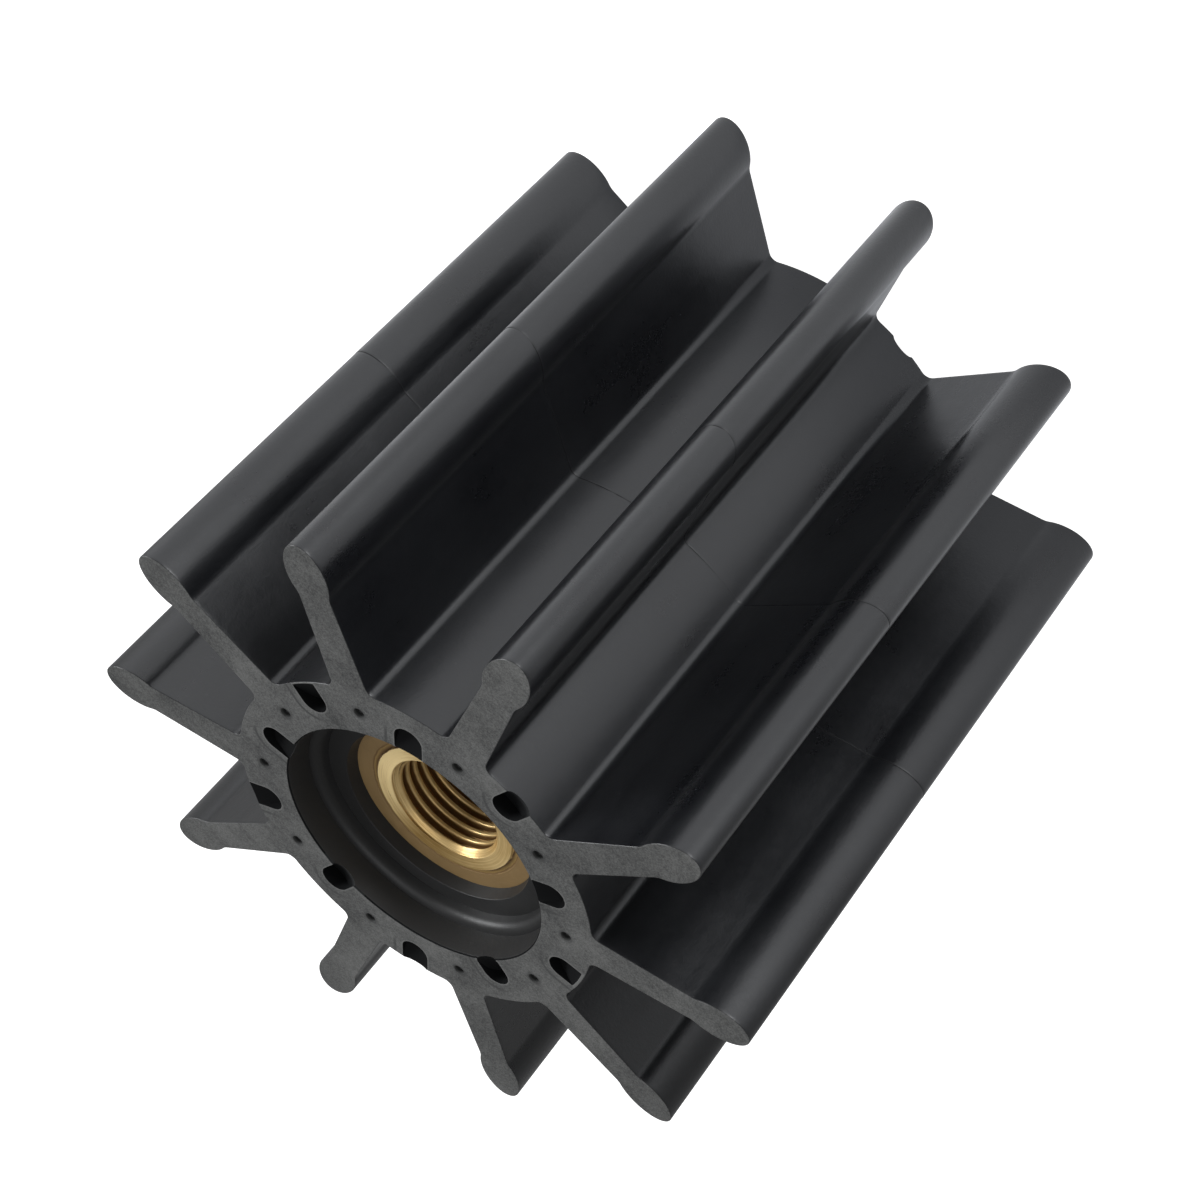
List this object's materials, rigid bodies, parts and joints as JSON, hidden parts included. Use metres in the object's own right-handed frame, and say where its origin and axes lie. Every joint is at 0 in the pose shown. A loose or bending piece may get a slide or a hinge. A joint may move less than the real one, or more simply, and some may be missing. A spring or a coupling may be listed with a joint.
{
  "type": "rubber pump impeller",
  "caption": "Flexible vane impeller for a raw-water pump: a moulded rubber wheel on a brass insert with a splined shaft bore and a threaded puller hole.",
  "frame": {"origin": "where the rotation axis meets the rear end face, which is also the bottom centre of the bounding box", "axes": "+Z along the rotation axis from the rear face to the front face with the threaded hole; +X along the first blade"},
  "size_m": [0.095, 0.0906, 0.0905],
  "materials": {
    "rubber": "satin moulded rubber, duller on the end faces",
    "brass": "turned brass with a dull bonded outer face"
  },
  "bodies": {
    "root": {"rubber_impeller": "rubber", "brass_insert": "brass"}
  },
  "joints": []
}
